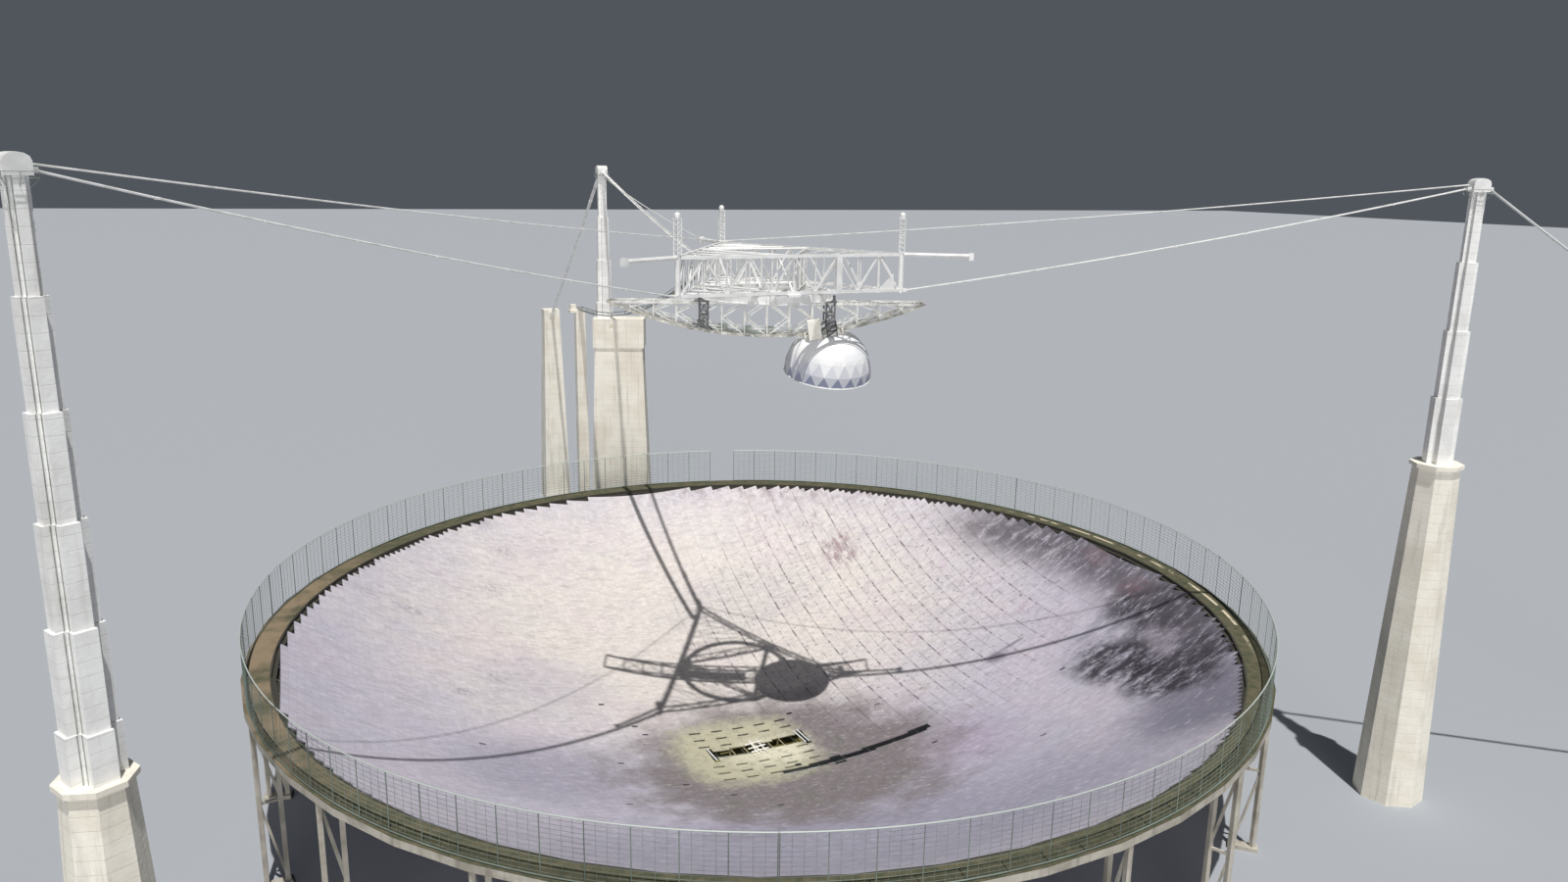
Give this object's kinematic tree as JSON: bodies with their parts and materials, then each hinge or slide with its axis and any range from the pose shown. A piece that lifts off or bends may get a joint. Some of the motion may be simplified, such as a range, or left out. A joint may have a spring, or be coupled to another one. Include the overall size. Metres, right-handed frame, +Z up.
{
  "type": "radio telescope dish, 1:20 scale model",
  "caption": "Fixed spherical radio telescope dish with a fence, three stepped towers and a cable stayed platform carrying a turning arm and a rolling dome.",
  "frame": {"origin": "on the floor under the middle of the dish, in the middle of the underside of the centre frame's long pad", "axes": "+Z up, +Y towards the far tower, +X level; the left tower is at 210 degrees and the right tower at 330 degrees from +X"},
  "size_m": [30.0364, 26.0123, 9.8203],
  "materials": {
    "panels": "weathered perforated aluminium panels, lilac white with grey and black stains",
    "concrete": "weathered pale concrete with form lines and rain streaks",
    "galvanised": "dull galvanised steel",
    "white_paint": "weathered white paint on steel",
    "cable": "painted steel bridge strand",
    "dome_skin": "white painted triangular panels"
  },
  "bodies": {
    "structure": {"reflector_centre": "panels", "reflector_sector_1": "panels", "reflector_sector_2": "panels", "reflector_sector_3": "panels", "reflector_sector_4": "panels", "reflector_sector_5": "panels", "reflector_sector_6": "panels", "reflector_sector_7": "panels", "reflector_sector_8": "panels", "rim_frame_1": "concrete", "rim_frame_2": "concrete", "rim_frame_3": "concrete", "rim_frame_4": "concrete", "fence_1": "galvanised", "fence_2": "galvanised", "fence_3": "galvanised", "fence_4": "galvanised", "fence_5": "galvanised", "far_tower_shaft": "concrete", "left_tower_shaft": "concrete", "right_tower_shaft": "concrete", "far_tower_pier": "concrete", "left_tower_pier": "concrete", "right_tower_pier": "concrete", "far_tower_saddle": "white_paint", "left_tower_saddle": "white_paint", "right_tower_saddle": "white_paint", "far_anchor": "concrete", "left_anchor": "concrete", "right_anchor": "concrete", "far_main_cables": "cable", "left_main_cables": "cable", "right_main_cables": "cable", "far_backstays": "cable", "left_backstays": "cable", "right_backstays": "cable", "far_steady_cable": "cable", "left_steady_cable": "cable", "right_steady_cable": "cable", "platform_side_1": "white_paint", "platform_side_2": "white_paint", "platform_side_3": "white_paint", "far_corner_mast": "white_paint", "left_corner_mast": "white_paint", "right_corner_mast": "white_paint", "ring_track": "white_paint", "footbridge": "galvanised", "footbridge_pier": "concrete", "centre_frame": "galvanised"},
    "turning_arm": {"azimuth_arm": "white_paint", "arm_hanger_1": "galvanised", "arm_hanger_2": "galvanised"},
    "dome_car": {"dome": "dome_skin", "dome_carriage": "white_paint"}
  },
  "joints": [
    {"name": "azimuth", "type": "hinge", "parent": "structure", "child": "turning_arm", "pos_m": [0, 0, 7.8], "axis": [0, 0, 1], "range_deg": [-290, 430]},
    {"name": "dome_travel", "type": "hinge", "parent": "turning_arm", "child": "dome_car", "pos_m": [0, 0, 13.452], "axis": [-0.342, -0.9397, 0], "range_deg": [-8.3, 11.4]}
  ]
}
